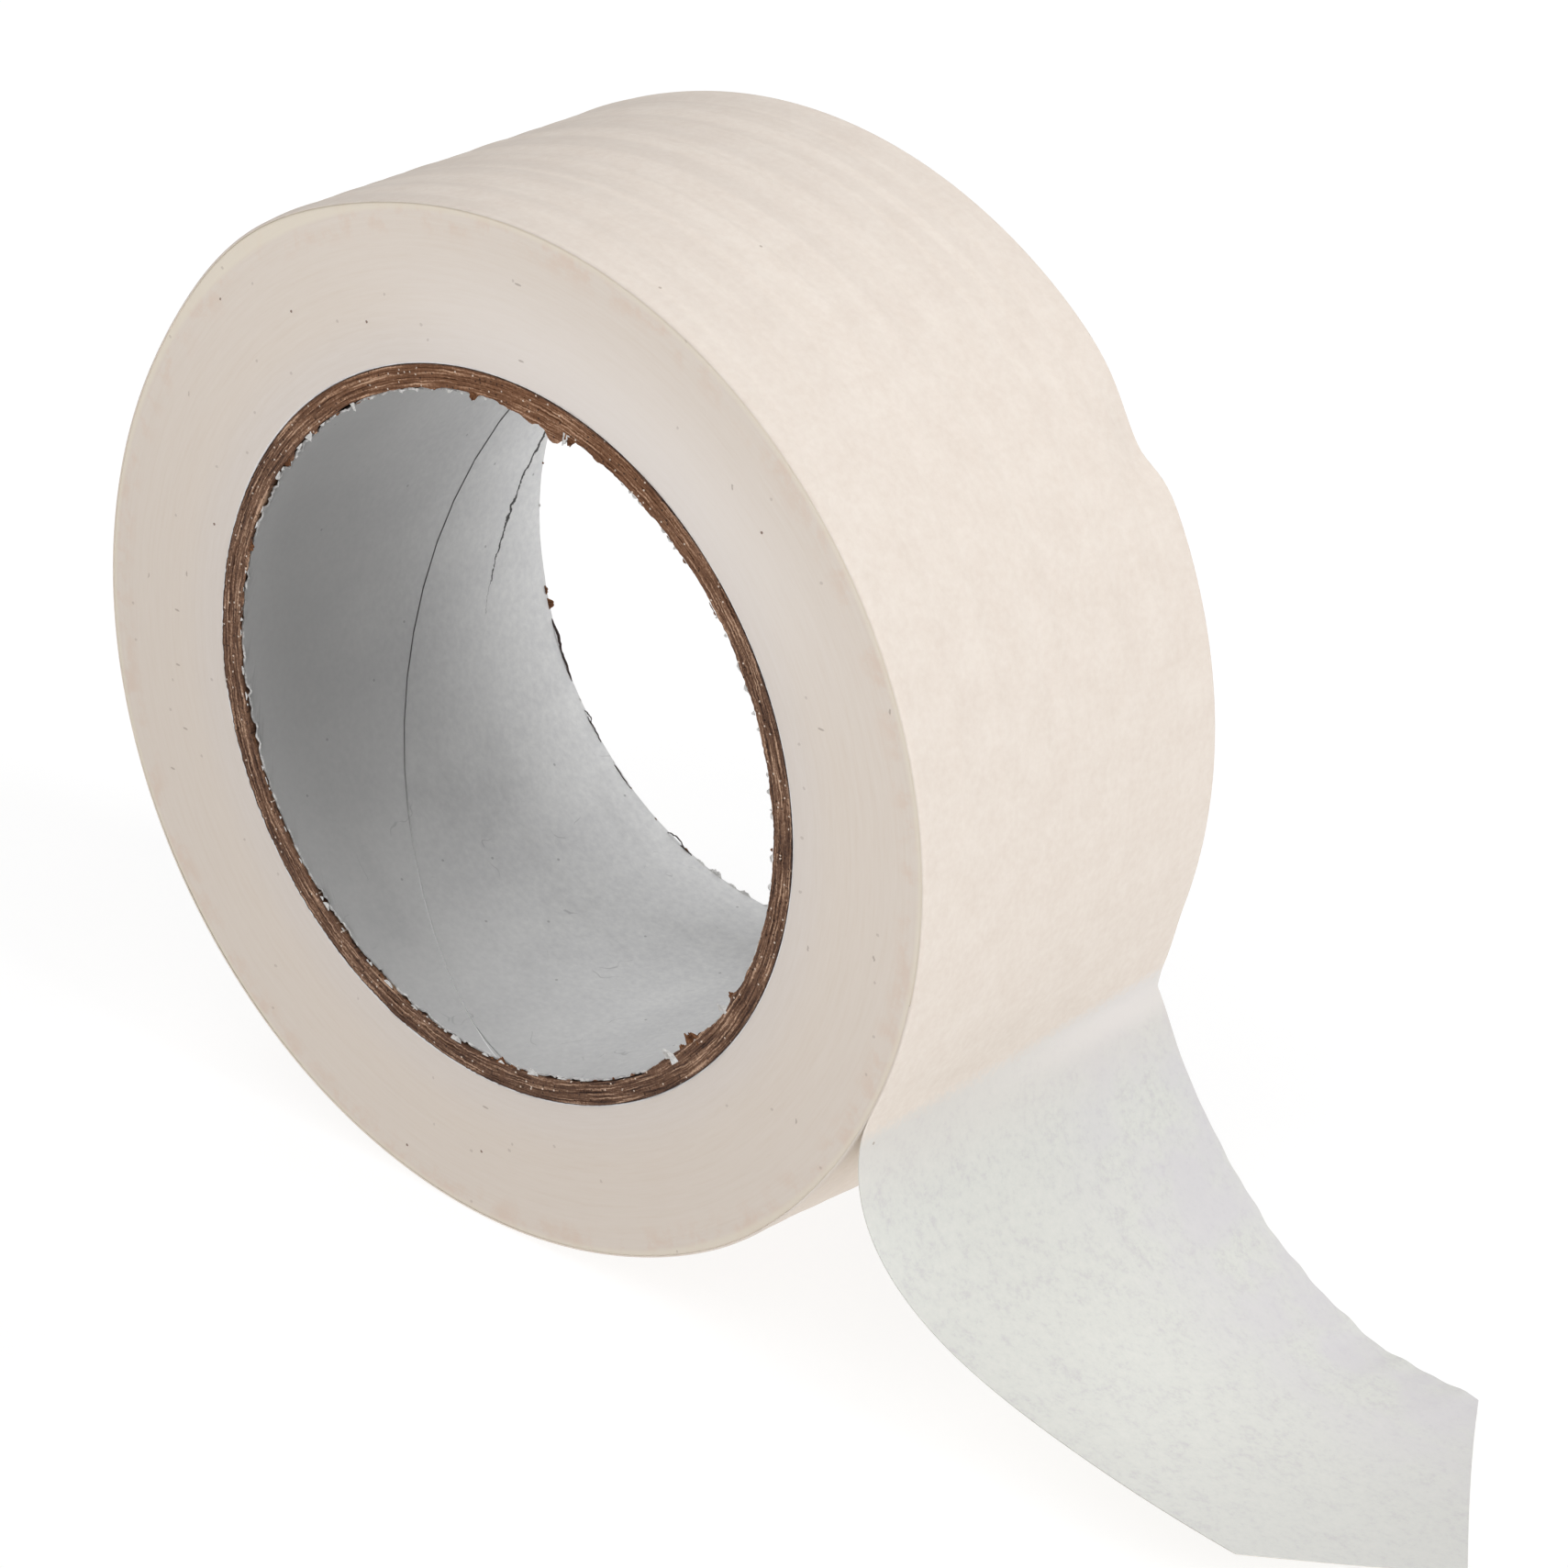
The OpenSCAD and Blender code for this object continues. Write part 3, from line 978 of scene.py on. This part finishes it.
def tape_surface():
    """Grid of the tape's outer face, its outward normals, and its UV: length from the peel line, width."""
    share = tape_columns()
    points = np.concatenate([turn_points(share), tail_points(share)])
    points = soften_peel_line(points, TURN_STEPS, 4, 6)
    steps = np.linalg.norm(np.diff(points, axis=0), axis=-1)
    length = np.concatenate([np.zeros((1, len(share))), np.cumsum(steps, axis=0)])
    length -= length[TURN_STEPS]
    normal = normals(points)
    lift = flutter(points, length) + peel_lift(share[None, :], length)
    points = points + normal * lift[..., None]
    loose = points[TURN_STEPS:]
    loose[..., 2] = np.maximum(loose[..., 2] + end_rise(loose), FLOOR_Z + TAPE + FLOOR_GAP)
    uv = np.stack([length, points[..., 1]], axis=-1)
    return points, normal, uv


def add_tape(backing_material, adhesive_material):
    """The outer turn and the tail are one strip: a crepe paper backing, and the adhesive under it."""
    outer, normal, uv = tape_surface()
    middle = outer - normal * BACKING
    inner = outer - normal * TAPE
    backing = closed_sheet("tape_backing", outer, middle, uv, backing_material)
    coat = closed_sheet("tape_adhesive", middle, inner, uv, adhesive_material)
    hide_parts("outer_turn_backing", "tail_backing")
    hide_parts("outer_turn_adhesive", "tail_adhesive")
    for piece, slot in ((backing, "crepe_paper"), (coat, "adhesive")):
        sharpen(piece, 60)
        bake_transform(piece)


# ---------------------------------------------------------------- torn bits of the core, and painted shadow at its far rim

NEAR = -1
FAR = 1
KRAFT_SHRED = 0.12 * MM
LINER_SHRED = 0.08 * MM
SMALL_SHRED = 0.07 * MM
SHRED_COLUMNS = 9
SHRED_INSET = 0.22 * MM
GAP_SHADOW_STEPS = 14
GAP_SHADOW_THICK = 0.1 * MM
GAP_SHADOW_WAVER = 0.08 * MM

# Torn bits in the places of the largest ones: degrees round the core, width and height in millimetres.
NEAR_KRAFT = (
    (77.5, 1.0, 0.7), (98, 1.2, 0.6), (146, 1.3, 0.8), (166, 1.4, 0.5), (274, 1.4, 0.7), (317.5, 1.5, 1.1),
    (319.5, 1.3, 1.5), (321.5, 1.6, 1.2), (334, 1.2, 0.7),
)
FAR_KRAFT = ((197, 1.2, 0.6), (199.5, 1.5, 0.9), (250, 0.8, 0.5))
NEAR_LINER = (
    (78.6, 0.8, 1.0), (126, 0.6, 0.8), (138.7, 1.2, 0.7), (150, 1.0, 0.5), (281, 1.4, 0.7),
    (314.5, 1.0, 1.6), (331, 1.0, 1.0), (264, 1.4, 0.8), (248, 1.2, 0.5), (231, 1.0, 0.5),
)
FAR_LINER = ((253.5, 1.8, 0.3), (257, 2.4, 0.7), (261, 1.6, 0.3), (264, 2.2, 0.55), (270, 2.6, 0.4))
# Strips of painted shadow in the gaps at the far rim: start and end in degrees, how far they hang and how wide
# they are in millimetres.
FAR_GAP_SHADOWS = (
    (202, 209, 0.5, 0.4), (207, 214, 0.35, 0.3), (219, 222, 0.6, 0.12), (220, 226, 0.3, 0.12),
    (228, 236, 0.2, 0.1), (245, 250, 0.7, 0.14), (248, 252, 0.3, 0.1),
)


def shred(side, degrees, wide, tall, thick):
    """A ragged bit of paper that hangs from the core's rim into the bore."""
    across = np.linspace(-0.5, 0.5, SHRED_COLUMNS)
    crest = np.sqrt(1.02 - (2 * across) ** 2) * rng.uniform(0.5, 1, SHRED_COLUMNS)
    level = np.array([-0.4, 0.35, 0.7, 1])[:, None]
    radius = BORE_R - tall * np.where(level > 0, level * crest, level)
    angle = math.radians(degrees) + wide / BORE_R * across * (1 - 0.3 * level)
    curl = tall * rng.uniform(-0.2, 0.5) * level ** 2
    front = polar(radius, angle, side * (HALF_WIDTH - SHRED_INSET + curl))
    return sheet_mesh(front, front - np.array([0, side * thick, 0]))


def gap_shadow_strip(start, end, hang, wide):
    """A long dark strip of painted shadow in the gap along the far rim, from one angle to another in degrees."""
    t = np.linspace(0, 1, GAP_SHADOW_STEPS)[:, None]
    side = np.array([-0.5, 0.5])[None, :]
    angle = np.radians(start + (end - start) * t)
    bow = np.sin(math.pi * t) * hang + GAP_SHADOW_WAVER * rng.uniform(-1, 1, GAP_SHADOW_STEPS)[:, None]
    radius = BORE_R + 0.1 * MM - bow + side * wide * np.sin(math.pi * (0.1 + 0.85 * t))
    front = polar(radius, angle, HALF_WIDTH - 0.2 * MM - 0.5 * MM * t * (1 - t))
    return sheet_mesh(front, front - np.array([0, GAP_SHADOW_THICK, 0]))


def add_joined(name, meshes, material):
    """Many small meshes as one piece on the roll."""
    start = 0
    points = []
    faces = []
    for mesh_points, mesh_faces in meshes:
        points.append(mesh_points)
        faces.append(mesh_faces + start)
        start += len(mesh_points)
    piece = add_mesh(name, np.concatenate(points), np.concatenate(faces), material)
    sharpen(piece, 40)
    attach(piece, "roll")


def placed(side, places, thick):
    """Shreds on one rim, at places given as degrees, width and height."""
    return [shred(side, degrees, wide * MM, tall * MM, thick) for degrees, wide, tall in places]


def scattered(count, near_share, widest, tallest):
    """Small shreds at random places, most of them on the near rim."""
    found = []
    for _ in range(count):
        side = NEAR if rng.uniform() < near_share else FAR
        wide = rng.uniform(0.25, 1) * widest
        degrees = rng.uniform(0, 360)
        tall = rng.uniform(0.3, 1) * tallest
        found.append(shred(side, degrees, wide, tall, SMALL_SHRED))
    return found


def add_torn_bits_and_gap_shadows(brown, white, dark):
    """Bits that the cut tore loose, brown board and white liner, and dark strips of painted shadow in the gaps at
    the far rim.
    """
    kraft = placed(NEAR, NEAR_KRAFT, KRAFT_SHRED)
    kraft += placed(FAR, FAR_KRAFT, KRAFT_SHRED)
    gap_shadows = [gap_shadow_strip(start, end, hang * MM, wide * MM) for start, end, hang, wide in FAR_GAP_SHADOWS]
    kraft += scattered(50, 0.7, 0.9 * MM, 0.25 * MM)
    paper = placed(NEAR, NEAR_LINER, LINER_SHRED)
    paper += placed(FAR, FAR_LINER, LINER_SHRED)
    paper += scattered(110, 0.75, 0.9 * MM, 0.3 * MM)
    add_joined("kraft_tufts", kraft, brown)
    add_joined("rim_gap_shadows", gap_shadows, dark)
    add_joined("liner_flakes", paper, white)


# ---------------------------------------------------------------- floor, light and camera

FLOOR_REACH = 4.0
FLOOR_GLOW = 0.78
FLOOR_GREYS = ((0.3, (0.25, 0.25, 0.25)), (0.7, (0.27, 0.27, 0.27)))


def add_floor():
    """A pale floor that glows a little, so that it comes out almost white under soft light."""
    s = Shader("pale_floor", 0.9, Specular_IOR_Level=0.1, Emission_Strength=FLOOR_GLOW)
    s.bsdf.inputs["Emission Color"].default_value = (1, 1, 1, 1)
    tone = s.noise(s.object_mm(), scale=0.02)
    material = s.finish(s.ramp(tone, FLOOR_GREYS))
    far = FLOOR_REACH
    corners = np.array([[-far, -far, 0], [far, -far, 0], [far, far, 0], [-far, far, 0]])
    floor = add_mesh("floor", corners, np.array([[0, 1, 2, 3]]), material)
    floor.location.z = FLOOR_Z - 0.05 * MM


def add_soft_sun(name, towards, strength, degrees):
    """Even light from one side of the sky, soft because it comes from a wide patch."""
    data = bpy.data.lights.new(name, "SUN")
    data.energy = strength
    data.angle = math.radians(degrees)
    light = bpy.data.objects.new(name, data)
    light.rotation_mode = "QUATERNION"
    light.rotation_quaternion = Vector(towards).to_track_quat("Z", "Y")
    bpy.context.scene.collection.objects.link(light)


def add_world(front, back):
    """A studio that is darker on the camera's side of the roll than behind it."""
    world = bpy.data.worlds.new("studio")
    world.use_nodes = True
    nodes = world.node_tree.nodes
    links = world.node_tree.links
    direction = nodes.new("ShaderNodeTexCoord")
    axes = nodes.new("ShaderNodeSeparateXYZ")
    level = nodes.new("ShaderNodeMapRange")
    for socket, value in (("From Min", -0.7), ("From Max", 0.7), ("To Min", front), ("To Max", back)):
        level.inputs[socket].default_value = value
    links.new(direction.outputs["Generated"], axes.inputs[0])
    links.new(axes.outputs["Y"], level.inputs["Value"])
    links.new(level.outputs["Result"], nodes["Background"].inputs["Strength"])
    bpy.context.scene.world = world


# Name, direction of the light, strength, and how many degrees of the sky it fills.
SUNS = (
    ("window", (1.0, 0.12, 0.55), 1.4, 25),
    ("overhead", (0.1, -0.5, 1.0), 1.95, 70),
    ("back", (-0.3, 0.8, 0.6), 0.75, 30),
)


def add_lights():
    add_world(0.44, 0.8)
    for name, towards, strength, degrees in SUNS:
        add_soft_sun(name, towards, strength, degrees)


def add_camera():
    """Seen from the front right and above, with the camera leaning a little to one side."""
    place = Vector((0.3742, -0.4382, 0.2876))
    aim = Vector((0.0152, 0.0057, -0.0098))
    lean = math.radians(4.0)
    data = bpy.data.cameras.new("camera")
    data.sensor_width = 36
    data.lens = 137.3
    data.clip_start = 0.01
    camera = bpy.data.objects.new("camera", data)
    camera.location = place
    camera.rotation_mode = "QUATERNION"
    facing = (aim - place).to_track_quat("-Z", "Y")
    camera.rotation_quaternion = facing @ Quaternion((0, 0, 1), lean)
    bpy.context.scene.collection.objects.link(camera)
    bpy.context.scene.camera = camera


# ---------------------------------------------------------------- the scene

def build():
    scene = bpy.context.scene
    scene.view_settings.view_transform = "Standard"
    kraft = kraft_paper()
    liner = liner_paper()
    add_plies(kraft)
    add_liner(liner)
    add_torn_bits_and_gap_shadows(torn_paper_and_gap_shadow("torn_kraft", sRGB(74, 44, 28), sRGB(150, 104, 72)),
                  torn_paper_and_gap_shadow("torn_liner", sRGB(205, 203, 200), sRGB(244, 243, 241)),
                  # The third material is the painted shadow in the gaps at the far rim.
                  torn_paper_and_gap_shadow("gap_shadow", sRGB(46, 38, 37), sRGB(96, 82, 78)))
    add_winding(wound_edge())
    add_tape(crepe_paper(), tacky_coat())
    add_floor()
    add_lights()
    add_camera()


build()
